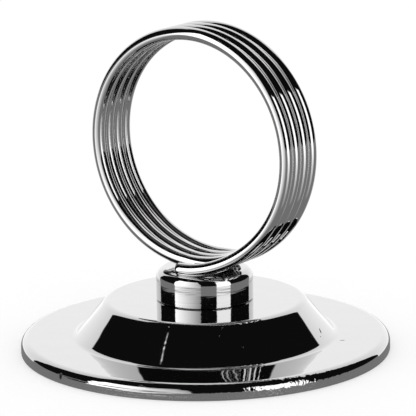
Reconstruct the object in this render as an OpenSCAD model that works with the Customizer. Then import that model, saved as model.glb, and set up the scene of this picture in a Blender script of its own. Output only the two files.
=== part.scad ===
// Place card holder: a pressed round base with a raised plinth, a turned hub on the plinth and an upright
// ring of wire on the hub, whose turns lie side by side and grip the edge of a card.
// Millimetres. Origin at the centre of the face that rests on the table, +Z up, ring axis along Y.

/* [Base] */
// Outer diameter of the base
base_d = 57.2; // [50:0.2:70]
// Height of the flange's upper face above the table
flange_h = 2.4; // [1.9:0.1:3.5]
// Height of the plinth's upper face above the table
plinth_h = 8; // [7.5:0.1:12]
// Diameter of the plinth's upper corner, before it is rounded
plinth_top_d = 31.4; // [24:0.2:36]
// Diameter of the plinth's foot, where its cone meets the flange
plinth_foot_d = 40; // [38:0.2:46]
// Thickness of the pressed sheet
sheet_t = 0.9; // [0.6:0.1:1.2]
// Radius of the rim, where the flange turns down
rim_r = 1.3; // [0.6:0.1:1.8]
// Radius of the plinth's upper corner
plinth_corner_r = 0.9; // [0.4:0.1:1.5]
// Radius of the hollow corner at the plinth's foot
foot_fillet_r = 0.5; // [0.3:0.1:1.5]

/* [Hub] */
// Diameter of the hub
hub_d = 15; // [13:0.2:20]
// Height of the hub
hub_h = 4.9; // [4.6:0.1:8]
// Radius of the hub's shoulder
hub_shoulder_r = 1.4; // [0.4:0.1:2]
// Chamfer round the hub's foot
hub_chamfer = 0.25; // [0.1:0.05:0.6]

/* [Ring] */
// Outer diameter of the ring
ring_od = 37.8; // [30:0.2:50]
// Diameter of the wire
wire_d = 1.8; // [1.4:0.1:2.4]
// Number of turns of the wire
turns = 4; // [2:1:5]
// Gap between neighbouring turns
turn_gap = 0.45; // [0.42:0.01:0.8]

/* [Braze seam] */
// Length of the seam along the wire
braze_l = 5; // [3:0.2:7]
// Height that the seam climbs up the wire
braze_h = 0.55; // [0.3:0.05:0.8]
// Thickness of the seam under the wire
braze_film = 0.1; // [0.06:0.02:0.2]

/* [Fastening] */
// Diameter of the screw
screw_d = 4; // [3:0.1:4.5]
// Length of the screw under its head
screw_l = 6; // [5:0.1:6.2]
// Diameter of the screw's head
screw_head_d = 8; // [6.5:0.1:9]
// Height of the screw's head
screw_head_h = 2.4; // [1.6:0.1:2.6]
// Radius round the screw's head
screw_head_r = 1; // [0.3:0.1:1.2]
// Width of the screwdriver slot
slot_w = 1.2; // [0.6:0.1:1.6]
// Depth of the screwdriver slot
slot_depth = 1; // [0.5:0.1:1.2]
// Diameter of the plain washer
plain_washer_d = 9; // [7:0.1:11]
// Thickness of the plain washer
plain_washer_t = 0.8; // [0.5:0.1:1]
// Diameter of the spring washer
spring_washer_d = 7.6; // [6.5:0.1:9]
// Thickness of the spring washer
spring_washer_t = 0.9; // [0.6:0.1:1.1]
// Width of the split in the spring washer
split_w = 0.9; // [0.5:0.1:1.5]
// Slant of the split in the spring washer, in degrees
split_slant = 20; // [5:1:30]

/* [Hidden] */
$fn = 96;

chrome = "gainsboro";
plated_wire = "lightgray";
braze_metal = "silver";
zinc = "darkgray";

// Clearances: under the hub and over the plain washer, beside the screw, and round the brazed wire
turning_clear = 0.05;
shank_clear = 0.1;
thread_clear = 0.05;
plain_washer_clear = 0.15;
spring_washer_clear = 0.05;
wire_clear = 0.02;
// Room past the screw's tip in the hub
tip_room = 0.35;
// Smallest radius on the underside of a bend
least_bend_r = 0.1;
// How far a cut runs past the face that it opens
overrun = 1;
// Straight pieces in each rounded corner of a section
corner_steps = 6;
// How much thinner the wire is on the left, so that each half turn's end lies inside its neighbour's
end_step = 0.01;
// Fineness of a drawn turn, and of the wire's round section
turn_fn = 360;
wire_fn = 48;
// Points on each half turn, to measure the gap between the turns
gap_points = 24;

base_r = base_d / 2;
plinth_top_r = plinth_top_d / 2;
plinth_foot_r = plinth_foot_d / 2;
cone_angle = atan2(plinth_h - flange_h, plinth_foot_r - plinth_top_r);
bend_shift = sheet_t * tan(cone_angle / 2);
hole_r = screw_d / 2 + shank_clear;

hub_z = plinth_h + turning_clear;
hub_top = hub_z + hub_h;
plain_washer_z = plinth_h - sheet_t - turning_clear - plain_washer_t;
spring_washer_z = plain_washer_z - spring_washer_t;
screw_head_z = spring_washer_z - screw_head_h;
screw_tip_z = spring_washer_z + screw_l;

coil_r = (ring_od - wire_d) / 2;
ring_z = hub_top + braze_film + ring_od / 2;
pitch = wire_d + turn_gap;
half_turns = 2 * turns;
first_y = -turns * pitch / 2;
ring_w = turns * pitch + wire_d;
wire_end_l = wire_d;
// A half turn is a half circle, which leans so far that it moves on by half a pitch
lean = atan2(pitch / 2, 2 * coil_r);
half_turn_r = norm([pitch / 2, 2 * coil_r]) / 2;

function unit(v) = v / norm(v);

// Points of the arc of radius r that rounds corner b between points a and c
function rounded(a, b, c, r) =
    let (to_a = unit(a - b))
    let (to_c = unit(c - b))
    let (half = acos(to_a * to_c) / 2)
    let (centre = b + unit(to_a + to_c) * r / sin(half))
    let (from = b + to_a * r / tan(half) - centre)
    let (to = b + to_c * r / tan(half) - centre)
    let (sweep = 180 - 2 * half)
    [for (i = [0 : corner_steps])
        let (share = i / corner_steps)
        centre + (from * sin((1 - share) * sweep) + to * sin(share * sweep)) / sin(sweep)];

// Half section of the pressed sheet: its upper side from the screw hole to the rim, then its underside back
function sheet_section() =
    let (hole_edge = [hole_r, plinth_h])
    let (corner = [plinth_top_r, plinth_h])
    let (foot = [plinth_foot_r, flange_h])
    let (rim = [base_r, flange_h])
    let (rim_edge = [base_r, 0])
    let (under_edge = [base_r - sheet_t, 0])
    let (under_rim = [base_r - sheet_t, flange_h - sheet_t])
    let (under_foot = [plinth_foot_r - bend_shift, flange_h - sheet_t])
    let (under_corner = [plinth_top_r - bend_shift, plinth_h - sheet_t])
    let (under_hole = [hole_r, plinth_h - sheet_t])
    concat(
        [hole_edge],
        rounded(hole_edge, corner, foot, plinth_corner_r),
        rounded(corner, foot, rim, foot_fillet_r),
        rounded(foot, rim, rim_edge, rim_r),
        [rim_edge, under_edge],
        rounded(under_edge, under_rim, under_foot, max(rim_r - sheet_t, least_bend_r)),
        rounded(under_rim, under_foot, under_corner, foot_fillet_r + sheet_t),
        rounded(under_foot, under_corner, under_hole, max(plinth_corner_r - sheet_t, least_bend_r)),
        [under_hole]
    );

// Place on the wire's middle line, at an angle from 0 to 180 along half turn k
function wire_point(k, angle) =
    let (side = k % 2 == 0 ? 1 : -1)
    let (rise = -half_turn_r * cos(angle) * side)
    let (middle_y = first_y + (k + 0.5) * pitch / 2)
    [
        side * half_turn_r * sin(angle),
        middle_y + side * rise * sin(lean),
        ring_z + rise * cos(lean)
    ];

wire_points = [for (k = [0 : half_turns - 1], i = [0 : gap_points - 1]) wire_point(k, 180 * i / gap_points)];

// Least distance between points of the wire that lie at least half a turn apart, less the wire itself
least_gap = min([
    for (i = [0 : len(wire_points) - gap_points - 1], j = [i + gap_points : len(wire_points) - 1])
        norm(wire_points[i] - wire_points[j])
]) - wire_d;
echo(str("Least gap between the turns of the wire, mm: ", least_gap));

// One half turn of wire of diameter d, round the right side of the ring, rising from front to back
module half_turn(d) {
    rotate([-lean, 0, 0])
        rotate([0, 90, 0])
            rotate([90, 0, 0])
                rotate_extrude(angle = 180, $fn = turn_fn)
                    translate([half_turn_r, 0])
                        circle(d = d, $fn = wire_fn);
}

// Straight end of the wire, from the bottom of the ring along X
module wire_end(d) {
    rotate([0, 90, 0])
        cylinder(d = d, h = wire_end_l);
}

// The whole wire with diameter d: half turns right and left in turn, and a straight end at each end
module wire(d) {
    for (k = [0 : half_turns - 1])
        translate([0, first_y + (k + 0.5) * pitch / 2, ring_z])
            rotate([0, 0, 180 * (k % 2)])
                half_turn(d - end_step * (k % 2));
    translate([0, first_y, ring_z - coil_r])
        rotate([0, 0, 180])
            wire_end(d - end_step);
    translate([0, -first_y, ring_z - coil_r])
        wire_end(d);
}

// Ring with a round hole, standing on height z
module washer(z, d, hole_d, t) {
    translate([0, 0, z])
        difference() {
            cylinder(d = d, h = t);
            translate([0, 0, -overrun])
                cylinder(d = hole_d, h = t + 2 * overrun);
        }
}

// Pressed base: flange, turned-down rim and hollow plinth with a hole for the screw
module base() {
    color(chrome)
        rotate_extrude()
            polygon(sheet_section());
}

// Turned hub with a rounded shoulder, a chamfered foot and a blind tapped hole from below
module hub() {
    hub_r = hub_d / 2;
    foot = [hub_r, hub_z];
    shoulder = [hub_r, hub_top];
    middle = [0, hub_top];
    color(chrome)
        difference() {
            rotate_extrude()
                polygon(concat(
                    [[0, hub_z], foot - [hub_chamfer, 0], foot + [0, hub_chamfer]],
                    rounded(foot, shoulder, middle, hub_shoulder_r),
                    [middle]
                ));
            translate([0, 0, hub_z - overrun])
                cylinder(d = screw_d + 2 * thread_clear, h = screw_tip_z + tip_room - hub_z + overrun);
        }
}

// Ring of wire that grips the card
module ring_coil() {
    color(plated_wire)
        wire(wire_d);
}

// Braze metal between the hub's top and the lowest part of each turn
module braze_seam() {
    seam_r = hub_d / 2 - hub_shoulder_r;
    color(braze_metal)
        difference() {
            intersection() {
                translate([0, 0, hub_top])
                    cylinder(r = seam_r, h = braze_film + braze_h);
                translate([-braze_l / 2, -ring_w / 2, hub_top])
                    cube([braze_l, ring_w, braze_film + braze_h]);
            }
            wire(wire_d + 2 * wire_clear);
        }
}

// Plain washer against the underside of the plinth
module plain_washer() {
    color(zinc)
        washer(plain_washer_z, plain_washer_d, screw_d + 2 * plain_washer_clear, plain_washer_t);
}

// Split washer, pressed flat between the plain washer and the screw's head
module spring_washer() {
    color(zinc)
        difference() {
            washer(spring_washer_z, spring_washer_d, screw_d + 2 * spring_washer_clear, spring_washer_t);
            translate([0, 0, spring_washer_z + spring_washer_t / 2])
                rotate([split_slant, 0, 0])
                    translate([0, -split_w / 2, -spring_washer_t - overrun])
                        cube([spring_washer_d, split_w, 2 * (spring_washer_t + overrun)]);
        }
}

// Pan-head screw with a straight slot, its tip in the hub
module fixing_screw() {
    shank_r = screw_d / 2;
    head_r = screw_head_d / 2;
    head_middle = [0, screw_head_z];
    head_edge = [head_r, screw_head_z];
    head_seat = [head_r, spring_washer_z];
    color(zinc)
        difference() {
            rotate_extrude()
                polygon(concat(
                    [head_middle],
                    rounded(head_middle, head_edge, head_seat, screw_head_r),
                    [head_seat, [shank_r, spring_washer_z], [shank_r, screw_tip_z], [0, screw_tip_z]]
                ));
            translate([-head_r - overrun, -slot_w / 2, screw_head_z - overrun])
                cube([screw_head_d + 2 * overrun, slot_w, slot_depth + overrun]);
        }
}

base();
hub();
ring_coil();
braze_seam();
plain_washer();
spring_washer();
fixing_screw();
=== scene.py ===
# %% [markdown]
# # A chrome place card holder
# The real thing is a pressed round base, a turned hub on it and an upright ring of close-wound wire
# that grips a card. Its solids were drawn in CAD at their real size. This lesson loads them as a fixed
# frame and gives every piece that shows a smooth mesh and a finish. Chrome has hardly any look of its
# own, so half of the work is the studio around it: what the metal mirrors is what the eye sees.

# %% Load the frame
import math

import bmesh
import bpy
import numpy as np
from mathutils import Matrix, Vector


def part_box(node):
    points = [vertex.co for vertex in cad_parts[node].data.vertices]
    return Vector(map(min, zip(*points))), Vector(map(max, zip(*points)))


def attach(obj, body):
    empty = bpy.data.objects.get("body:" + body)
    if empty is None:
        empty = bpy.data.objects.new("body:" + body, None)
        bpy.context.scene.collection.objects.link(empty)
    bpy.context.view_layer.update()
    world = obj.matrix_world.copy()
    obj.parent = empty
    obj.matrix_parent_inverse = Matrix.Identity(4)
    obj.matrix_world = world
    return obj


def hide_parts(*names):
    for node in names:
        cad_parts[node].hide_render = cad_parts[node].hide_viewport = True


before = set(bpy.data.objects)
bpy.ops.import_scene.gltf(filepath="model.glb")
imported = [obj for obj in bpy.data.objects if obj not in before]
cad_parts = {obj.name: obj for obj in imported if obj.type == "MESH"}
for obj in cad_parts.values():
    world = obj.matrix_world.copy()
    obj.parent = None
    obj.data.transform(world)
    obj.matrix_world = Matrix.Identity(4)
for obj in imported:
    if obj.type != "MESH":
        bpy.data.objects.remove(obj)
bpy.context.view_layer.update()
MM = 0.001
print("solids:", sorted(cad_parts))

# %% [markdown]
# ## The camera
# The photograph was taken with a long lens from the front right, a little above the table. The angles,
# the distance and the lens come from fitting the outlines of the round base and of the ring. Blender
# could aim a camera with three turns. Three axes are used here, because a small roll and an aim beside
# the holder's own axis are easier to write that way.

# %% Camera place
AZIMUTH, ELEVATION, ROLL = 35.587, 13.155, 0.889
CAMERA_DISTANCE = 452.5 * MM
# The fitted sight point lies on the holder's axis at this height
SIGHT_HEIGHT = 24.31 * MM


def unit(vectors):
    """Each vector divided by its own length."""
    return vectors / np.linalg.norm(vectors, axis=-1, keepdims=True)


azimuth, elevation, roll = np.radians((AZIMUTH, ELEVATION, ROLL))
sight_back = np.array((
    math.sin(azimuth) * math.cos(elevation),
    -math.cos(azimuth) * math.cos(elevation),
    math.sin(elevation),
))
level_right = np.array((math.cos(azimuth), math.sin(azimuth), 0))
level_up = np.cross(sight_back, level_right)
rolled_right = math.cos(roll) * level_right - math.sin(roll) * level_up
rolled_up = math.sin(roll) * level_right + math.cos(roll) * level_up
sight = np.array((0, 0, SIGHT_HEIGHT))
camera_place = sight + sight_back * CAMERA_DISTANCE
print("camera at, mm:", (camera_place / MM).round(1))

# %% Camera
FOCAL_PIXELS = 2949
IMAGE_SIDE = 416
SENSOR_WIDTH = 36
# The pixel at which the sight point shows
SIGHT_PIXEL = (203.3, 194.6)

# The middle of the picture looks past the sight point by that point's pixels from the middle
metres_per_pixel = CAMERA_DISTANCE / FOCAL_PIXELS
aim = (
    sight
    + (IMAGE_SIDE / 2 - SIGHT_PIXEL[0]) * metres_per_pixel * rolled_right
    - (IMAGE_SIDE / 2 - SIGHT_PIXEL[1]) * metres_per_pixel * rolled_up
)
camera_back = unit(camera_place - aim)
camera_right = unit(np.cross(rolled_up, camera_back))
camera_up = np.cross(camera_back, camera_right)
camera_axes = np.column_stack((camera_right, camera_up, camera_back, camera_place))

camera = bpy.data.objects.new("camera", bpy.data.cameras.new("camera"))
camera.data.sensor_width = SENSOR_WIDTH
camera.data.lens = FOCAL_PIXELS / IMAGE_SIDE * SENSOR_WIDTH
camera.matrix_world = Matrix(camera_axes.tolist()).to_4x4()
bpy.context.scene.collection.objects.link(camera)
bpy.context.scene.camera = camera
print("lens, mm:", round(camera.data.lens, 1))

# %% [markdown]
# ## From grids of points to meshes
# Every new piece here is a grid of points: one direction runs along an outline, the other round an axis
# or along a path. Blender's own Spin and Screw tools could turn an outline too. With numpy the whole
# surface is one formula, and any number that belongs to a point, such as how worn it is, is stored
# beside it as an attribute. Points that fall together, at a pole or where an outline closes, are
# merged, so that a piece is watertight.

# %% Grid to mesh
# Points closer than this, in metres, become one, and faces that meet at more than this angle keep an edge
MERGE_DISTANCE = 1e-7
SHARP_ANGLE = math.radians(40)


def grid_piece(name, points, wrap_rows=False, wrap_columns=False, **attributes):
    """Mesh of a grid of points in metres. Face (i, j) joins points (i, j), (i+1, j), (i+1, j+1) and
    (i, j+1). A wrapped direction also joins its last points to its first. An attribute is a grid of
    numbers or of vectors. A closed surface is turned to face outwards, and an open one keeps its side."""
    rows, columns = points.shape[:2]
    index = np.arange(rows * columns).reshape(rows, columns)
    if wrap_rows:
        index = np.vstack((index, index[:1]))
    if wrap_columns:
        index = np.hstack((index, index[:, :1]))
    corners = (index[:-1, :-1], index[1:, :-1], index[1:, 1:], index[:-1, 1:])
    quads = np.stack(corners, axis=-1).reshape(-1, len(corners))
    mesh = bpy.data.meshes.new(name)
    mesh.from_pydata(points.reshape(-1, 3).tolist(), [], quads.tolist())
    for label, values in attributes.items():
        kind, field = ("FLOAT", "value") if values.ndim == 2 else ("FLOAT_VECTOR", "vector")
        mesh.attributes.new(label, kind, "POINT").data.foreach_set(field, values.ravel())
    work = bmesh.new()
    work.from_mesh(mesh)
    bmesh.ops.remove_doubles(work, verts=work.verts, dist=MERGE_DISTANCE)
    if not any(edge.is_boundary for edge in work.edges):
        bmesh.ops.recalc_face_normals(work, faces=work.faces)
    work.to_mesh(mesh)
    work.free()
    mesh.shade_smooth()
    mesh.set_sharp_from_angle(angle=SHARP_ANGLE)
    piece = bpy.data.objects.new(name, mesh)
    bpy.context.scene.collection.objects.link(piece)
    print(name, "faces:", len(mesh.polygons))
    return piece


# %% [markdown]
# ## Outlines with rounded corners
# A pressed, turned or drawn piece has no sharp corner: every edge is a small arc, and on chrome that
# arc is the bright line that draws the piece. So an outline is written as a few corners with a radius
# each, and one function works out the arcs. A Bevel modifier would do much the same, but with one width
# for all edges.

# %% Outlines
ARC_STEPS = 12
SIDE_STEPS = 10
# Points of an outline closer than this, in mm, are one, as on a corner without a radius
SAME_POINT = 1e-6


def outline(corners, closed):
    """Points of an outline through corners (r, z, radius), in mm.
    At a corner, a and b point to its neighbours and h is half of the angle between them. The arc's
    centre is corner + unit(a + b) * radius / sin h, and it meets the sides radius / tan h from the
    corner. On the arc the arm turns by s from one side to the other:
    arm(t) = (first * sin((1 - t) s) + last * sin(t s)) / sin s.
    Sides get points that crowd to their ends, as (1 - cos) / 2, so that a flat stays flat beside an arc."""
    corners = np.array(corners, float)
    points, radii = corners[:, :2], corners[:, 2:]
    to_last = unit(np.roll(points, 1, 0) - points)
    to_next = unit(np.roll(points, -1, 0) - points)
    half = np.arccos(np.clip((to_last * to_next).sum(1, keepdims=True), -1, 1)) / 2
    centre = points + unit(to_last + to_next) * radii / np.sin(half)
    first = points + to_last * radii / np.tan(half) - centre
    last = points + to_next * radii / np.tan(half) - centre
    # A corner without a radius has no arm to turn, and any turn but 0 will do for it
    turn = np.where(radii > 0, math.pi - 2 * half, 1)[:, None]
    t = np.linspace(0, 1, ARC_STEPS)[None, :, None]
    arms = (first[:, None] * np.sin((1 - t) * turn) + last[:, None] * np.sin(t * turn)) / np.sin(turn)
    arcs = centre[:, None] + arms
    along = math.pi * np.arange(1, SIDE_STEPS + 1) / (SIDE_STEPS + 1)
    share = (0.5 - 0.5 * np.cos(along))[None, :, None]
    sides = arcs[:, -1:] * (1 - share) + np.roll(arcs, -1, 0)[:, :1] * share
    line = np.concatenate((arcs, sides), axis=1).reshape(-1, 2)
    if not closed:
        line = line[:-SIDE_STEPS]
    step = np.linalg.norm(np.diff(line, axis=0), axis=1)
    return line[np.append(True, step > SAME_POINT)]


# %% Spinning and dressing
SPIN_STEPS = 288


def spin(line):
    """Surface of revolution: a point (r, z) of an outline in mm goes, at angle a, to
    (r cos a, r sin a, z) in metres."""
    angle = np.arange(SPIN_STEPS) * 2 * math.pi / SPIN_STEPS
    r, z = line.T[:, :, None] * MM
    return np.stack((r * np.cos(angle), r * np.sin(angle), z + 0 * angle), axis=-1)


def extent(node):
    """Lowest and highest corner of a solid, in mm."""
    low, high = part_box(node)
    return np.array(low) / MM, np.array(high) / MM


def dress(piece, body, node):
    """The piece rides on a body and stands in for a solid, which is hidden."""
    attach(piece, body)
    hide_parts(node)


# %% [markdown]
# ## The base
# The base is one round of sheet steel, pressed so that its middle rises as a conical plinth and its
# edge turns down to the table. It is hollow underneath. A disc could be extruded and bevelled ring by
# ring. Here the whole section, top and underside, is one closed outline turned about the axis, so that
# every radius stays a number. Half way up, the cone sinks in by about a seventh of a millimetre, as
# pressed steel does when it springs back, and that is enough to bend the ring's mirror image. Three
# attributes store what the finish needs: where the buffing wheel could not reach, which is the foot of
# the rim and the inside, how much the trimming tool marked the rim, and where knocks have nibbled it.

# %% Base outline
# Sizes of this piece, and of those that follow, are in mm
FLANGE_H = 2.4
PLINTH_TOP_R = 15.45
PLINTH_FOOT_R = 20.2
SHEET_T = 0.9
HOLE_R = 2.1
RIM_R = 1.3
PLINTH_CORNER_R = 1.4
FOOT_FILLET_R = 1.2
# How far the cone sinks in half way up, where its two halves meet in an arc of this radius
CONE_HOLLOW = 0.14
CONE_HOLLOW_R = 70
INNER_BEND_R = 0.25
CUT_EDGE_R = 0.15

base_r, _, plinth_h = extent("base")[1]
cone_angle = math.atan2(plinth_h - FLANGE_H, PLINTH_FOOT_R - PLINTH_TOP_R)
cone_middle = (
    (PLINTH_TOP_R + PLINTH_FOOT_R) / 2 - CONE_HOLLOW * math.sin(cone_angle),
    (plinth_h + FLANGE_H) / 2 - CONE_HOLLOW * math.cos(cone_angle),
)
# Under the sheet, a bend lies nearer to the axis by this much
bend_shift = SHEET_T * math.tan(cone_angle / 2)
base_line = outline((
    (HOLE_R, plinth_h, CUT_EDGE_R),
    (PLINTH_TOP_R, plinth_h, PLINTH_CORNER_R),
    (*cone_middle, CONE_HOLLOW_R),
    (PLINTH_FOOT_R, FLANGE_H, FOOT_FILLET_R),
    (base_r, FLANGE_H, RIM_R),
    (base_r, 0, CUT_EDGE_R),
    (base_r - SHEET_T, 0, CUT_EDGE_R),
    (base_r - SHEET_T, FLANGE_H - SHEET_T, RIM_R - SHEET_T),
    (PLINTH_FOOT_R - bend_shift, FLANGE_H - SHEET_T, FOOT_FILLET_R + SHEET_T),
    (PLINTH_TOP_R - bend_shift, plinth_h - SHEET_T, INNER_BEND_R),
    (HOLE_R, plinth_h - SHEET_T, CUT_EDGE_R),
), closed=True)
print("base outline, points:", len(base_line))

# %% Base
# Height on the rim below which the polish fades, and over how many mm the marks of the rim come in
WORN_BELOW = 1.2
MARK_FADE = 0.3
# Side of the rim, in degrees, where the trimming tool chattered, how far round, and its share elsewhere
TRIM_SIDE = -80
TRIM_REACH = 26
TRIM_CALM_SHARE = 0.2
# Side of the rim that is nibbled by knocks, and how far round
KNOCK_SIDE = -28
KNOCK_REACH = 16


def around_side(side, reach):
    """1 at one side of the base, falling off round it by exp(-(angle / reach)^2), with angles in
    degrees."""
    angle = np.arange(SPIN_STEPS) * 360 / SPIN_STEPS
    away = (angle - side + 180) % 360 - 180
    return np.exp(-(away / reach) ** 2)


# The outline runs over the top and down the rim, and all that follows its lowest point is inside
inside = np.arange(len(base_line)) > np.argmin(base_line[:, 1])
worn_line = np.where(inside, 1, np.clip((WORN_BELOW - base_line[:, 1]) / MARK_FADE, 0, 1))
rim_line = np.clip((base_line[:, 0] - base_r + RIM_R) / MARK_FADE, 0, 1)
chatter = TRIM_CALM_SHARE + (1 - TRIM_CALM_SHARE) * around_side(TRIM_SIDE, TRIM_REACH)
base = grid_piece(
    "base_pressing", spin(base_line), wrap_rows=True, wrap_columns=True,
    worn=np.repeat(worn_line[:, None], SPIN_STEPS, axis=1),
    trimmed=rim_line[:, None] * chatter,
    knocked=rim_line[:, None] * around_side(KNOCK_SIDE, KNOCK_REACH),
)
dress(base, "stand", "base")

# %% [markdown]
# ## The hub
# The hub is a short boss, turned from bar and rounded at its shoulder. It stands on the plinth, and the
# fine line round its foot is a small chamfer with its mirror image. A bevelled cylinder would come
# close. An outline also has the chamfer and the blind hole for the screw. It starts and ends on the
# axis, so it needs no cap: the first and last points fall together and are merged.

# %% Hub
HUB_SHOULDER_R = 1.4
HUB_CHAMFER = 0.14
HUB_HOLE_R = 2.05
HUB_HOLE_TOP = 11.7
HUB_EDGE_R = 0.06

hub_low, hub_high = extent("hub")
hub_r, hub_z, hub_top = hub_high[0], hub_low[2], hub_high[2]
hub_line = outline((
    (0, hub_top, 0),
    (hub_r, hub_top, HUB_SHOULDER_R),
    (hub_r, hub_z + HUB_CHAMFER, HUB_EDGE_R),
    (hub_r - HUB_CHAMFER, hub_z, HUB_EDGE_R),
    (HUB_HOLE_R, hub_z, HUB_EDGE_R),
    (HUB_HOLE_R, HUB_HOLE_TOP, HUB_EDGE_R),
    (0, HUB_HOLE_TOP, 0),
), closed=False)
hub = grid_piece("turned_hub", spin(hub_line), wrap_columns=True)
dress(hub, "head", "hub")

# %% [markdown]
# ## The ring
# One steel wire is wound four times round a mandrel and stood on the hub. A curve with a round bevel
# would make it in a few clicks. Here a circle is carried along the helix instead, so that its ends can
# be rounded off as cut wire is, and so that every point knows where it would lie if the wire were drawn
# out straight again: the finish needs that, because drawing marks run along the wire.

# %% Ring
WIRE_D = 2.02
WIRE_PITCH = 2.16
TURNS = 4
# The front end springs forward from its neighbour and down into its seat on the hub, where it is
# brazed. The move, in mm, fades over this angle of the first turn, in radians
END_FORWARD = 1.6
END_DOWN = 0.3
END_ANGLE = 0.6
STEPS_PER_TURN = 200

ring_low, ring_high = extent("ring_coil")
ring_z = (ring_high[2] + ring_low[2]) / 2
wire_r = WIRE_D / 2
coil_r = (ring_high[2] - ring_low[2]) / 2 - wire_r


def wire_middle(angle):
    """Middle line of the wire: x = R sin a, z = centre - R cos a, and y moves on by one pitch a turn.
    The front end is moved forward and down by exp(-(a / end angle)^2) times its full move."""
    spring = np.exp(-(angle / END_ANGLE) ** 2)
    return np.stack((
        coil_r * np.sin(angle),
        WIRE_PITCH * (angle / (2 * math.pi) - TURNS / 2) - END_FORWARD * spring,
        ring_z - coil_r * np.cos(angle) - END_DOWN * spring,
    ), axis=-1)


wire_turn = np.linspace(0, 2 * math.pi * TURNS, STEPS_PER_TURN * TURNS + 1)
wire_steps = np.linalg.norm(np.diff(wire_middle(wire_turn), axis=0), axis=1)
print("wire in the coil, mm:", wire_steps.sum().round(1))

# %% Wire
# How far each end runs straight on past the coil, and the radius that rounds off its cut
FRONT_STUB = 0.35
BACK_STUB = 2.8
END_ROUND = 0.8
END_STEPS = 9
WIRE_SIDES = 32
# Angle, in radians, to either side of a point between which the wire's direction is taken
DIRECTION_ANGLE = 1e-4


def wire_surface():
    """A circle of the wire's radius carried along the middle line. Past both ends of the coil the line
    runs straight on, and there the radius closes along a quarter circle. Also gives each point's place
    on the straight wire: (length along, radius * cos, radius * sin)."""
    closing = np.linspace(0, math.pi / 2, END_STEPS)
    # The last ring of points on each end is a single point, which closes the flat of the cut
    end_past = np.append(END_ROUND * np.sin(closing), END_ROUND)
    end_radius = np.append(wire_r - END_ROUND * (1 - np.cos(closing)), 0)
    end_turn = np.zeros(len(end_past))
    angle = np.concatenate((end_turn, wire_turn, end_turn + wire_turn[-1]))
    past = np.concatenate((-FRONT_STUB - end_past[::-1], 0 * wire_turn, BACK_STUB + end_past))
    radius = np.concatenate((end_radius[::-1], np.full(len(wire_turn), wire_r), end_radius))
    ahead = unit(wire_middle(angle + DIRECTION_ANGLE) - wire_middle(angle - DIRECTION_ANGLE))
    outward = np.stack((np.sin(angle), 0 * angle, -np.cos(angle)), axis=-1)
    across = unit(np.cross(ahead, outward))
    outward = np.cross(across, ahead)
    middle = wire_middle(angle) + ahead * past[:, None]
    around = np.arange(WIRE_SIDES) * 2 * math.pi / WIRE_SIDES
    circle_out, circle_across = radius[:, None] * np.cos(around), radius[:, None] * np.sin(around)
    points = (
        middle[:, None]
        + circle_out[..., None] * outward[:, None]
        + circle_across[..., None] * across[:, None]
    )
    along = np.cumsum(np.linalg.norm(np.diff(middle, axis=0, prepend=middle[:1]), axis=1))[:, None]
    straight = np.stack(np.broadcast_arrays(along, circle_out, circle_across), axis=-1)
    return points * MM, straight * MM


ring_points, straight_wire = wire_surface()
ring = grid_piece("wire_ring", ring_points, wrap_columns=True, straight_wire=straight_wire)
dress(ring, "head", "ring_coil")

# %% [markdown]
# ## The braze
# The wire is brazed to the hub. The metal ran into the wedge under the first turns on the right, froze
# in lumps and was plated with the rest. A particle system or a remeshed heap of balls could make it. A
# height over an oval is enough here: a low mound plus many small round lumps at seeded random places.

# %% Braze
BRAZE_MIDDLE = (3.2, -1.6)
BRAZE_REACH = (3.6, 3.8)
BRAZE_H = 0.45
BRAZE_SINK = 0.05
BRAZE_ROWS = 48
BRAZE_COLUMNS = 160
# Waves of the ragged edge: how many go round, their height as a share of the reach, and where they start
RAGGED_WAVES = ((3, 0.07, 1), (7, 0.05, 0), (13, 0.03, 2))
LUMPS = 170
LUMP_W = 0.3
LUMP_H = 0.32
LOW_LUMP_SHARE = 0.3
LUMP_SEED = 11


def hub_height(r):
    """Height of the hub's top at radius r: flat, then down the shoulder's quarter circle."""
    over = np.clip(r - (hub_r - HUB_SHOULDER_R), 0, HUB_SHOULDER_R)
    return hub_top - HUB_SHOULDER_R + np.sqrt(HUB_SHOULDER_R ** 2 - over ** 2)


def braze_surface():
    """Over an oval, with s the share of the way from its middle to its edge:
    height = (1 - s^4) * (mound + sum of lumps), where the mound is its full height times (1 - s^2) and
    a lump at distance d is h * exp(-(d / w)^2). The underside lies just inside the hub."""
    chance = np.random.default_rng(LUMP_SEED)
    share = np.linspace(0, 1, BRAZE_ROWS)[:, None]
    around = np.linspace(0, 2 * math.pi, BRAZE_COLUMNS, endpoint=False)[None]
    ragged = 1 + sum(height * np.sin(count * around + start) for count, height, start in RAGGED_WAVES)
    x = BRAZE_MIDDLE[0] + BRAZE_REACH[0] * share * ragged * np.cos(around)
    y = BRAZE_MIDDLE[1] + BRAZE_REACH[1] * share * ragged * np.sin(around)
    lump_angle = chance.uniform(0, 2 * math.pi, LUMPS)
    lump_share = np.sqrt(chance.uniform(0, 1, LUMPS))
    lump_x = BRAZE_MIDDLE[0] + BRAZE_REACH[0] * lump_share * np.cos(lump_angle)
    lump_y = BRAZE_MIDDLE[1] + BRAZE_REACH[1] * lump_share * np.sin(lump_angle)
    lump_h = LUMP_H * chance.uniform(LOW_LUMP_SHARE, 1, LUMPS)
    squared_distance = (x[..., None] - lump_x) ** 2 + (y[..., None] - lump_y) ** 2
    lumps = (lump_h * np.exp(-squared_distance / LUMP_W ** 2)).sum(-1)
    seat = hub_height(np.hypot(x, y)) - BRAZE_SINK
    top = seat + (1 - share ** 4) * (BRAZE_H * (1 - share ** 2) + BRAZE_SINK + lumps)
    over = np.stack((x, y, top), axis=-1)
    under = np.stack((x, y, seat), axis=-1)
    return np.concatenate((over, under[::-1])) * MM


braze = grid_piece("braze_mound", braze_surface(), wrap_columns=True)
dress(braze, "head", "braze_seam")

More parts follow.
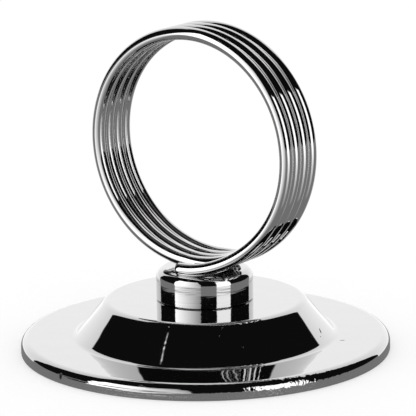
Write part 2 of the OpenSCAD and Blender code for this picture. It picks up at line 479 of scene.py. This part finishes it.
# %% [markdown]
# ## Colours and nodes
# Colours are written as sRGB hex, the way a paint program shows them, and Blender's shaders want linear
# light, so one function converts them. Another adds a node: its properties, its values and its links in
# one call, so that a finish reads as a list of what it is made of.

# %% Material helpers
CHROME = "#CECECE"


def linear(hex_colour):
    """sRGB hex to linear RGBA: a channel c becomes c / 12.92 up to 0.04045, and above that it becomes
    ((c + 0.055) / 1.055)^2.4."""
    c = np.array([int(hex_colour[i:i + 2], 16) for i in (1, 3, 5)]) / 255
    value = np.where(c <= 0.04045, c / 12.92, ((c + 0.055) / 1.055) ** 2.4)
    return (*value.tolist(), 1)


def add(tree, kind, inputs, **settings):
    """Adds one node. Settings are its own properties. An input gets a value, or a link if it is given a
    socket."""
    node = tree.nodes.new("ShaderNode" + kind)
    for name, value in settings.items():
        setattr(node, name, value)
    for socket, value in inputs.items():
        if isinstance(value, bpy.types.NodeSocket):
            tree.links.new(value, node.inputs[socket])
        else:
            node.inputs[socket].default_value = value
    return node


def new_material(name):
    """An empty material and its tree."""
    material = bpy.data.materials.new(name)
    material.use_nodes = True
    material.node_tree.nodes.clear()
    return material, material.node_tree


print("chrome, share of light given back:", round(linear(CHROME)[0], 3))

# %% [markdown]
# ## Chrome on pressed steel
# The base was pressed, buffed and plated. Bright chrome is a neutral grey mirror that gives back about
# six tenths of the light. What tells it from a perfect mirror is how it wobbles: pressing leaves a
# faint orange peel a few millimetres across, which bends straight reflections. The rim was trimmed on a
# lathe, which left lines round it where the tool chattered, and knocks have nibbled it on one side. Its
# foot was hardly buffed, so it is dull and mottled. A few nicks are torn rough, and show dark in a pale
# reflection and pale in a dark one. A painted picture could hold all that. Bump and roughness worked
# out from the piece's own coordinates need no picture, and stay sharp close up.

# %% Nicks
# Where each nick starts and ends on the base, and half of its width, in mm
NICKS = (
    ((17.63, 5.33, 4.35), (18.26, 4.86, 3.83), 0.16),
    ((18.66, 3.98, 3.6), (18.74, 4.05, 3.52), 0.1),
    ((20.2, 7.27, 2.4), (20.69, 7.7, 2.4), 0.15),
    ((-6.8, -27.78, 1.4), (-6.84, -27.77, 0.95), 0.4),
    ((11.2, -11.22, 7.49), (11.21, -11.34, 7.36), 0.11),
    ((11.34, -12.22, 6.45), (11.34, -12.33, 6.35), 0.11),
    ((14.49, -10.67, 4.81), (14.45, -10.67, 4.84), 0.13),
)
# Share of the way out from its middle up to which a nick is fully torn
NICK_CORE_SHARE = 0.6


def torn_by_nicks(tree, place):
    """How torn the plate is, 0 to 1. A mapping turns each nick into a ball of radius 1 round the
    origin, where it is 1 up to the core's share of the radius and falls straight to 0 at the edge. The
    largest value counts."""
    torn = 0.0
    for start, end, half_width in NICKS:
        start, end = Vector(start), Vector(end)
        along = end - start
        ball = add(tree, "Mapping", {
            "Vector": place,
            "Location": (start + end) / 2 * MM,
            "Rotation": along.to_track_quat("X", "Z").to_euler(),
            "Scale": Vector((along.length / 2 + half_width, half_width, half_width)) * MM,
        }, vector_type="TEXTURE").outputs[0]
        away = add(tree, "VectorMath", {0: ball}, operation="LENGTH").outputs["Value"]
        nick = add(tree, "MapRange", {0: away, "From Min": 1, "From Max": NICK_CORE_SHARE}).outputs[0]
        torn = add(tree, "Math", {0: torn, 1: nick}, operation="MAXIMUM").outputs[0]
    return torn


print("nicks:", len(NICKS))

# %% Pressed chrome
# Width and depth of each pattern, in mm: orange peel, mottling at the rim's foot, lines of the trimming
# tool with their length round the rim, and knocks
PEEL_W = 5
PEEL_DEPTH = 0.035
MOTTLE_W = 0.5
MOTTLE_DEPTH = 0.02
TRIM_W = 0.5
TRIM_LENGTH = 20
TRIM_DEPTH = 0.12
KNOCK_W = 0.8
KNOCK_DEPTH = 0.12
# How many finer layers the noise of each has
PEEL_DETAIL = 1
MOTTLE_DETAIL = 4
RIM_DETAIL = 2
# Roughness of the buffed plate, and how much the mottling adds where the plate is worn
POLISHED = 0.03
WORN = 0.3
NICK_COLOUR = "#5C5C5E"


def pressed_chrome():
    """Roughness = polished + worn * mottle, or how torn the plate is where that is more. Bump = orange
    peel, then trim lines and knocks on the rim, then mottle where worn. Colour = chrome, darker in the
    nicks."""
    # To the eye: a bright grey mirror, gently wavy on the flats, broken up at the rim and dull at its foot
    material, tree = new_material("bright_chrome_plate_on_pressed_steel")
    place = add(tree, "TexCoord", {}).outputs["Object"]
    worn = add(tree, "Attribute", {}, attribute_name="worn").outputs["Fac"]
    trimmed = add(tree, "Attribute", {}, attribute_name="trimmed").outputs["Fac"]
    knocked = add(tree, "Attribute", {}, attribute_name="knocked").outputs["Fac"]
    peel = add(tree, "TexNoise", {
        "Vector": place, "Scale": 1 / (PEEL_W * MM), "Detail": PEEL_DETAIL,
    }).outputs["Fac"]
    mottle = add(tree, "TexNoise", {
        "Vector": place, "Scale": 1 / (MOTTLE_W * MM), "Detail": MOTTLE_DETAIL,
    }).outputs["Fac"]
    around_rim = add(tree, "Mapping", {
        "Vector": place, "Scale": (1 / (TRIM_LENGTH * MM), 1 / (TRIM_LENGTH * MM), 1 / (TRIM_W * MM)),
    }).outputs[0]
    trim = add(tree, "TexNoise", {"Vector": around_rim, "Scale": 1, "Detail": RIM_DETAIL}).outputs["Fac"]
    knocks = add(tree, "TexNoise", {
        "Vector": place, "Scale": 1 / (KNOCK_W * MM), "Detail": RIM_DETAIL,
    }).outputs["Fac"]
    worn_mottle = add(tree, "Math", {0: worn, 1: mottle}, operation="MULTIPLY").outputs[0]
    dull = add(tree, "Math", {0: worn_mottle, 1: WORN, 2: POLISHED}, operation="MULTIPLY_ADD").outputs[0]
    torn = torn_by_nicks(tree, place)
    roughness = add(tree, "Math", {0: dull, 1: torn}, operation="MAXIMUM").outputs[0]
    colour = add(tree, "Mix", {
        0: torn, 6: linear(CHROME), 7: linear(NICK_COLOUR),
    }, data_type="RGBA").outputs[2]
    wavy = add(tree, "Bump", {"Height": peel, "Distance": PEEL_DEPTH * MM}).outputs[0]
    lined = add(tree, "Bump", {
        "Height": trim, "Distance": TRIM_DEPTH * MM, "Strength": trimmed, "Normal": wavy,
    }).outputs[0]
    nibbled = add(tree, "Bump", {
        "Height": knocks, "Distance": KNOCK_DEPTH * MM, "Strength": knocked, "Normal": lined,
    }).outputs[0]
    bumpy = add(tree, "Bump", {
        "Height": worn_mottle, "Distance": MOTTLE_DEPTH * MM, "Normal": nibbled,
    }).outputs[0]
    shader = add(tree, "BsdfPrincipled", {
        "Base Color": colour, "Metallic": 1, "Roughness": roughness, "Normal": bumpy,
    })
    add(tree, "OutputMaterial", {0: shader.outputs[0]})
    return material


base.data.materials.append(pressed_chrome())
print("finish of the base:", base.data.materials[0].name)

# %% [markdown]
# ## Chrome on turned steel
# The hub was turned in a lathe and polished less than the base, so very fine lines still run round it.
# They smear reflections up and down: the grey of the table bleeds into the dark below it in level
# streaks. Anisotropic roughness could do that evenly. A bump of lines that fade in and out round the
# hub also gives the streaks.

# %% Turned chrome
# Turning lines are about 0.05 mm wide. They are drawn ten times wider, or the render would not show them.
LINE_W = 0.5
LINE_LENGTH = 7
LINE_DEPTH = 0.024
LINE_DETAIL = 2
TURNED = 0.045


def turned_chrome():
    """Bump = noise squeezed along the axis, so that it becomes lines round the hub, each fading after
    its length."""
    # To the eye: a mirror whose borders between pale and dark break up into level streaks
    material, tree = new_material("bright_chrome_plate_on_turned_steel")
    place = add(tree, "TexCoord", {}).outputs["Object"]
    around_hub = add(tree, "Mapping", {
        "Vector": place, "Scale": (1 / (LINE_LENGTH * MM), 1 / (LINE_LENGTH * MM), 1 / (LINE_W * MM)),
    }).outputs[0]
    lines = add(tree, "TexNoise", {"Vector": around_hub, "Scale": 1, "Detail": LINE_DETAIL}).outputs["Fac"]
    bumpy = add(tree, "Bump", {"Height": lines, "Distance": LINE_DEPTH * MM}).outputs[0]
    shader = add(tree, "BsdfPrincipled", {
        "Base Color": linear(CHROME), "Metallic": 1, "Roughness": TURNED, "Normal": bumpy,
    })
    add(tree, "OutputMaterial", {0: shader.outputs[0]})
    return material


hub.data.materials.append(turned_chrome())
print("finish of the hub:", hub.data.materials[0].name)

# %% [markdown]
# ## Chrome on drawn wire
# Wire is pulled through a die, which leaves long shallow marks along it. Plated over, they make the
# highlights waver in width. A pattern on plain Object coordinates would cut across the turns. This one
# reads the straight-wire attribute, so the marks follow every turn without a seam.

# %% Drawn chrome
# Drawing marks are a few hundredths of a mm wide. They are drawn far wider, or the render would not
# show them.
MARK_W = 0.7
MARK_LENGTH = 30
MARK_DEPTH = 0.002
MARK_DETAIL = 2
DRAWN = 0.02


def drawn_chrome():
    """Bump = noise on the straightened wire, stretched along it."""
    # To the eye: clean thin highlights that run with the wire and waver a little in width
    material, tree = new_material("bright_chrome_plate_on_drawn_wire")
    straight = add(tree, "Attribute", {}, attribute_name="straight_wire").outputs["Vector"]
    along_wire = add(tree, "Mapping", {
        "Vector": straight, "Scale": (1 / (MARK_LENGTH * MM), 1 / (MARK_W * MM), 1 / (MARK_W * MM)),
    }).outputs[0]
    marks = add(tree, "TexNoise", {"Vector": along_wire, "Scale": 1, "Detail": MARK_DETAIL}).outputs["Fac"]
    bumpy = add(tree, "Bump", {"Height": marks, "Distance": MARK_DEPTH * MM}).outputs[0]
    shader = add(tree, "BsdfPrincipled", {
        "Base Color": linear(CHROME), "Metallic": 1, "Roughness": DRAWN, "Normal": bumpy,
    })
    add(tree, "OutputMaterial", {0: shader.outputs[0]})
    return material


ring.data.materials.append(drawn_chrome())
print("finish of the ring:", ring.data.materials[0].name)

# %% [markdown]
# ## Chrome over rough braze
# Nobody polishes a braze under a wire, so the metal is grainy, with sparks where a grain happens to face
# a light. Its colour is painted almost black, as painted shade of the wedge under the turns. The mesh could
# hold every grain. A bump over its lumps is enough at this size.

# %% Plated braze
GRAIN_W = 0.25
GRAIN_DEPTH = 0.09
GRAIN_DETAIL = 3
# Painted shade: the braze's colour is almost black, standing in for the shade in the wedge under the turns
BRAZE_PAINTED_SHADE_COLOUR = "#403E3D"
BRAZE_ROUGH = 0.06


def plated_braze():
    """Bump = fine noise, deep for its width, over the lumps that the mesh already has."""
    # To the eye: a crumbly patch with small bright sparks, dark from painted shade
    material, tree = new_material("chrome_plate_on_rough_braze_with_painted_shade")
    place = add(tree, "TexCoord", {}).outputs["Object"]
    grain = add(tree, "TexNoise", {
        "Vector": place, "Scale": 1 / (GRAIN_W * MM), "Detail": GRAIN_DETAIL,
    }).outputs["Fac"]
    bumpy = add(tree, "Bump", {"Height": grain, "Distance": GRAIN_DEPTH * MM}).outputs[0]
    shader = add(tree, "BsdfPrincipled", {
        "Base Color": linear(BRAZE_PAINTED_SHADE_COLOUR), "Metallic": 1, "Roughness": BRAZE_ROUGH, "Normal": bumpy,
    })
    add(tree, "OutputMaterial", {0: shader.outputs[0]})
    return material


braze.data.materials.append(plated_braze())
print("finish of the braze:", braze.data.materials[0].name)

# %% [markdown]
# ## Zinc on the screw and washers
# The fixings under the plinth are bought pieces, zinc plated in a barrel: a satin blue-grey with faint
# cloudy patches. New meshes could be turned for them as well. Their solids already have the right
# shape, so they stay, and only their material is changed.

# %% Zinc plate
# Width of a cloudy patch, in mm, and its two ends of colour and roughness
PATCH_W = 0.8
ZINC_LIGHT = "#C2C6CA"
ZINC_DARK = "#A3A8AD"
ZINC_SMOOTH = 0.28
ZINC_ROUGH = 0.42


def zinc_plate():
    """Colour and roughness run between two values, with one random share of the way for each cell of a
    pattern as wide as the cloudy patches."""
    # To the eye: a soft satin grey that blurs what it mirrors, slightly cloudy from place to place
    material, tree = new_material("barrel_zinc_plate_on_steel")
    place = add(tree, "TexCoord", {}).outputs["Object"]
    cells = add(tree, "TexVoronoi", {"Vector": place, "Scale": 1 / (PATCH_W * MM)}).outputs["Color"]
    shade = add(tree, "SeparateColor", {0: cells}).outputs[0]
    colour = add(tree, "Mix", {
        0: shade, 6: linear(ZINC_LIGHT), 7: linear(ZINC_DARK),
    }, data_type="RGBA").outputs[2]
    roughness = add(tree, "MapRange", {0: shade, "To Min": ZINC_SMOOTH, "To Max": ZINC_ROUGH}).outputs[0]
    shader = add(tree, "BsdfPrincipled", {"Base Color": colour, "Metallic": 1, "Roughness": roughness})
    add(tree, "OutputMaterial", {0: shader.outputs[0]})
    return material


zinc = zinc_plate()
for node in ("plain_washer", "spring_washer", "fixing_screw"):
    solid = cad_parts[node]
    solid.data.materials.clear()
    solid.data.materials.append(zinc)
    print("zinc on:", node)

# %% [markdown]
# ## The light
# The world is plain white at strength 1, which lights the floor evenly and renders any colour about as
# it is written. Chrome needs more than that. Its picture is the studio, so the studio is drawn as a
# dome that only mirrors see: a white backdrop behind, a dark room in front and above, a tall soft light
# on either side of the camera, and a short slanting row of small lamps high on the left. Lamps of the
# right size would do the same, but a dome with one formula is easier to read and to change.

# %% World
world = bpy.data.worlds.new("studio")
world.use_nodes = True
world.node_tree.nodes["Background"].inputs["Color"].default_value = (1, 1, 1, 1)
bpy.context.scene.world = world
bpy.context.scene.view_settings.view_transform = "Standard"
print("world:", world.name)

# %% Studio
# Places are in degrees: azimuths from the camera, growing to its right, and elevations. An edge is a
# ramp of this width, and what reaches down to the table starts from below the dome.
EDGE_W = 1
BELOW = -90
ROOM = 0.006
BACKDROP_FROM = 129.5
BACKDROP_TOP = 56
# The backdrop is lit from below and from behind the holder: its levels at these elevations and azimuths
BACKDROP_HEIGHTS = (12, BACKDROP_TOP)
BACKDROP_HEIGHT_LEVELS = (1.2, 0.95)
BACKDROP_SIDES = (-165, -130, 130, 165)
BACKDROP_SIDE_LEVELS = (1, 0.86, 0.91, 1)
# The light left of the camera, with its levels at both sides. Above the given elevation its inner edge
# leans away from the camera, by so much for each degree.
LEFT_LIGHT = (-75, -9)
LEFT_LEVELS = (2.4, 0.5)
LEFT_TOP = 44
LEFT_LEAN_FROM = 13
LEFT_LEAN = 0.35
RIGHT_LIGHT = (28, 63)
RIGHT_LEVEL = 1.8
RIGHT_TOP = 41
# A row of small lamps above the left light: azimuth half way up, elevations, lean, spacing, width and
# level
LAMPS_AT = -58.6
LAMPS_HEIGHTS = (55.1, 59.3)
LAMPS_LEAN = 1.62
LAMPS_STEP = 1.2
LAMPS_W = 1.6
LAMPS_LEVEL = 0.9


def between(value, low, high):
    """1 between two edges and 0 outside them, with a ramp one edge width wide across each."""
    return np.clip((value - low) / EDGE_W + 0.5, 0, 1) * np.clip((high - value) / EDGE_W + 0.5, 0, 1)


def studio_level(a, e):
    """Brightness of the studio at azimuth a, 0 towards the camera, and elevation e: the room, plus the
    backdrop, both lights and the lamps, each 1 inside its edges times a level that runs straight from
    one given place to the next. Along their row the lamps' level goes as 1 + cos(turn * e / step)."""
    backdrop = (1 - between(a, -BACKDROP_FROM, BACKDROP_FROM)) * between(e, BELOW, BACKDROP_TOP)
    backdrop = backdrop * np.interp(e, BACKDROP_HEIGHTS, BACKDROP_HEIGHT_LEVELS)
    backdrop = backdrop * np.interp(a, BACKDROP_SIDES, BACKDROP_SIDE_LEVELS)
    lean = LEFT_LEAN * np.clip(e - LEFT_LEAN_FROM, 0, None)
    left = between(a, LEFT_LIGHT[0], LEFT_LIGHT[1] - lean) * between(e, BELOW, LEFT_TOP)
    left = left * np.interp(a, LEFT_LIGHT, LEFT_LEVELS)
    right = between(a, *RIGHT_LIGHT) * between(e, BELOW, RIGHT_TOP) * RIGHT_LEVEL
    lamp_line = LAMPS_AT - LAMPS_LEAN * (e - sum(LAMPS_HEIGHTS) / 2)
    row = between(a - lamp_line, -LAMPS_W / 2, LAMPS_W / 2) * between(e, *LAMPS_HEIGHTS)
    lamps = row * LAMPS_LEVEL * (1 + np.cos(2 * math.pi * e / LAMPS_STEP))
    return ROOM + backdrop + left + right + lamps


print("studio straight behind, at the table:", studio_level(np.array(180.0), np.array(0.0)).round(2))

# %% Studio dome
DOME_R = 1.2
DOME_STEP = 0.5


def only_mirrors_see(piece):
    """Leaves a stage piece to glossy rays alone."""
    for ray in ("camera", "diffuse", "shadow", "transmission", "volume_scatter"):
        setattr(piece, "visible_" + ray, False)


def studio_glow():
    """Emission at the level that the dome stores at each point."""
    material, tree = new_material("studio_dome")
    level = add(tree, "Attribute", {}, attribute_name="level").outputs["Fac"]
    glow = add(tree, "Emission", {"Strength": level})
    add(tree, "OutputMaterial", {0: glow.outputs[0]})
    return material


dome_a = np.arange(-180, 180 + DOME_STEP, DOME_STEP)[:, None]
dome_e = np.arange(0, 90 + DOME_STEP, DOME_STEP)[None]
turned, raised = np.radians(dome_a + AZIMUTH), np.radians(dome_e)
dome_points = DOME_R * np.stack((
    np.cos(raised) * np.sin(turned),
    -np.cos(raised) * np.cos(turned),
    np.sin(raised) + 0 * turned,
), axis=-1)
dome = grid_piece("studio_dome", dome_points, level=studio_level(dome_a, dome_e))
dome.data.materials.append(studio_glow())
only_mirrors_see(dome)

# %% [markdown]
# ## The floor
# To the camera the floor is pale and lit by the world, with a little light of its own that makes the
# open floor just white. It keeps the holder's own shadow. To chrome it is the table: grey, and glossy
# towards the horizon except for a matt round under the holder. Two floors, each hidden from one kind of
# ray, could do that. Here Light Path tells the two kinds of ray apart in one material. From below the
# floor is clear.

# %% Floor
FLOOR_R = 4
FLOOR_MIDDLE_R = 0.02
FLOOR_RINGS = 40
FLOOR_SIDES = 96
# The floor lies just below the base's foot, by this many mm
FLOOR_Z = -0.05

floor_r = np.append(0, np.geomspace(FLOOR_MIDDLE_R, FLOOR_R, FLOOR_RINGS))[:, None]
floor_a = np.linspace(0, 2 * math.pi, FLOOR_SIDES, endpoint=False)[None]
floor_points = np.stack((
    floor_r * np.cos(floor_a),
    floor_r * np.sin(floor_a),
    FLOOR_Z * MM + 0 * (floor_r + floor_a),
), axis=-1)
floor = grid_piece("floor", floor_points, wrap_columns=True)

# %% Floor finish
FLOOR_COLOUR = "#C4C4C4"
FLOOR_GLOW = 0.46
# The table as chrome sees it: its level, the roughness of its gloss, and how steeply the gloss grows
# towards the horizon
TABLE = 0.25
TABLE_ROUGH = 0.12
TABLE_GRAZE = 2.2
# Radius of the matt round, and the radius from which the gloss is full, in mm
MATT_R = 39
GLOSSY_R = 48


def pale_floor():
    """To the camera: diffuse + own light. To a mirror: the table's level + gloss * facing^graze, with
    the gloss growing from 0 to 1 between the matt and the glossy radius. From below: clear."""
    material, tree = new_material("pale_floor")
    ray = add(tree, "LightPath", {}).outputs
    open_view = add(tree, "Math", {0: ray["Is Camera Ray"], 1: ray["Is Transmission Ray"]}).outputs[0]
    own_light = add(tree, "Math", {0: open_view, 1: FLOOR_GLOW}, operation="MULTIPLY").outputs[0]
    lit = add(tree, "BsdfDiffuse", {"Color": linear(FLOOR_COLOUR)}).outputs[0]
    glow = add(tree, "Emission", {"Strength": own_light}).outputs[0]
    seen = add(tree, "AddShader", {0: lit, 1: glow}).outputs[0]
    place = add(tree, "TexCoord", {}).outputs["Object"]
    away = add(tree, "VectorMath", {0: place}, operation="LENGTH").outputs["Value"]
    outside = add(tree, "MapRange", {
        0: away, "From Min": MATT_R * MM, "From Max": GLOSSY_R * MM,
    }).outputs[0]
    facing = add(tree, "LayerWeight", {}).outputs["Facing"]
    grazing = add(tree, "Math", {0: facing, 1: TABLE_GRAZE}, operation="POWER").outputs[0]
    gloss = add(tree, "Math", {0: grazing, 1: outside}, operation="MULTIPLY").outputs[0]
    grey = add(tree, "Emission", {"Strength": TABLE}).outputs[0]
    shine = add(tree, "BsdfGlossy", {"Color": gloss, "Roughness": TABLE_ROUGH}).outputs[0]
    table = add(tree, "AddShader", {0: grey, 1: shine}).outputs[0]
    above = add(tree, "MixShader", {0: ray["Is Glossy Ray"], 1: seen, 2: table}).outputs[0]
    from_below = add(tree, "NewGeometry", {}).outputs["Backfacing"]
    clear = add(tree, "BsdfTransparent", {}).outputs[0]
    both = add(tree, "MixShader", {0: from_below, 1: above, 2: clear}).outputs[0]
    add(tree, "OutputMaterial", {0: both})
    return material


floor.data.materials.append(pale_floor())
print("finish of the floor:", floor.data.materials[0].name)
